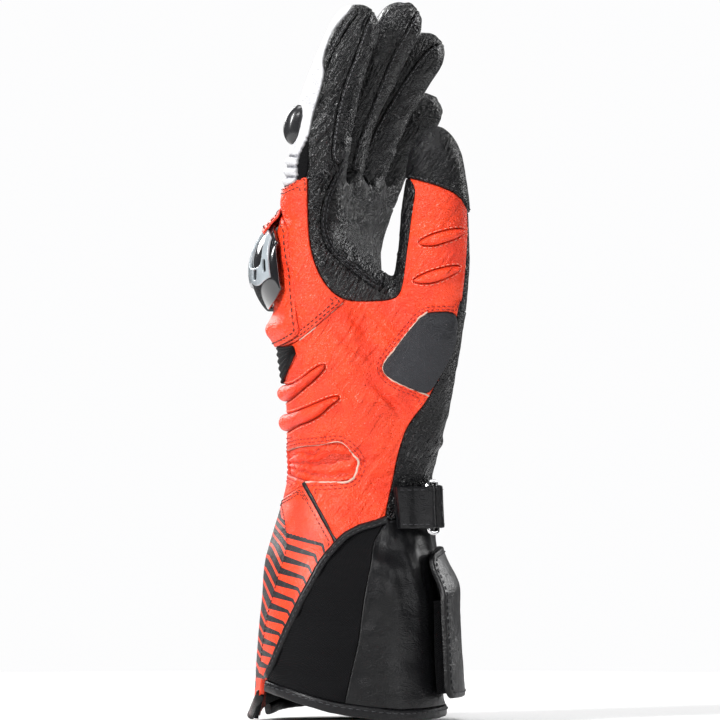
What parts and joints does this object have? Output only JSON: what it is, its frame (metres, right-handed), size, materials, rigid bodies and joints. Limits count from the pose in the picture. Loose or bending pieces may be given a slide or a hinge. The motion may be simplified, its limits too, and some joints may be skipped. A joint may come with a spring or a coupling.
{
  "type": "motorcycle gauntlet glove",
  "caption": "Left-hand leather motorcycle gauntlet, held as worn: flared cuff with closure flap, wrist strap on a wire loop, moulded knuckle guard, open hollow for hand and wrist.",
  "frame": {"origin": "centre of the cuff's mouth, at the level of the cuff's lowest edge, where the hand goes in", "axes": "+Z from the cuff to the fingertips, -X towards the back of the hand, +X towards the palm, -Y towards the thumb side of this left-hand glove"},
  "size_m": [0.0992, 0.1163, 0.3224],
  "materials": {
    "orange_leather": "fluorescent orange-red grain leather, satin",
    "black_leather": "black grain goat leather, satin",
    "grey_suede": "dark grey embossed reinforcement",
    "white_leather": "white grain leather",
    "black_textile": "matt black woven stretch textile",
    "hook_pile": "black hook and loop pile",
    "stretch_rubber": "dark grey ribbed stretch insert",
    "carbon_shell": "lacquered carbon composite",
    "moulded_grey": "light grey moulded composite",
    "polished_loop": "polished metal wire"
  },
  "bodies": {
    "root": {"cuff_back_panel": "orange_leather", "cuff_side_panel": "black_textile", "cuff_palm_panel": "black_leather", "cuff_hem": "black_leather", "cuff_piping_thumb_side": "black_leather", "cuff_piping_outer_side": "black_leather", "closure_flap": "black_leather", "closure_hook_pad": "hook_pile", "strap_anchor": "black_leather", "strap_loop": "polished_loop", "wrist_strap": "black_leather", "palm_panel": "black_leather", "hand_back_panel": "orange_leather", "webbing_panel": "black_leather", "thumb_patch": "grey_suede", "wrist_gather": "orange_leather", "wrist_bar_lower": "orange_leather", "wrist_bar_upper": "orange_leather", "stretch_band": "stretch_rubber", "knuckle_surround": "orange_leather", "knuckle_guard": "carbon_shell", "knuckle_frame": "moulded_grey", "index_finger": "black_leather", "index_finger_back": "white_leather", "index_finger_guard": "carbon_shell", "middle_finger": "black_leather", "middle_finger_back": "white_leather", "middle_finger_guard": "carbon_shell", "ring_finger": "black_leather", "ring_finger_back": "white_leather", "ring_finger_guard": "carbon_shell", "little_finger": "black_leather", "little_finger_back": "white_leather", "thumb_cap": "black_leather", "thumb_back": "orange_leather", "thumb_front": "black_leather", "thumb_bar_lower": "orange_leather", "thumb_bar_upper": "orange_leather"}
  },
  "joints": []
}
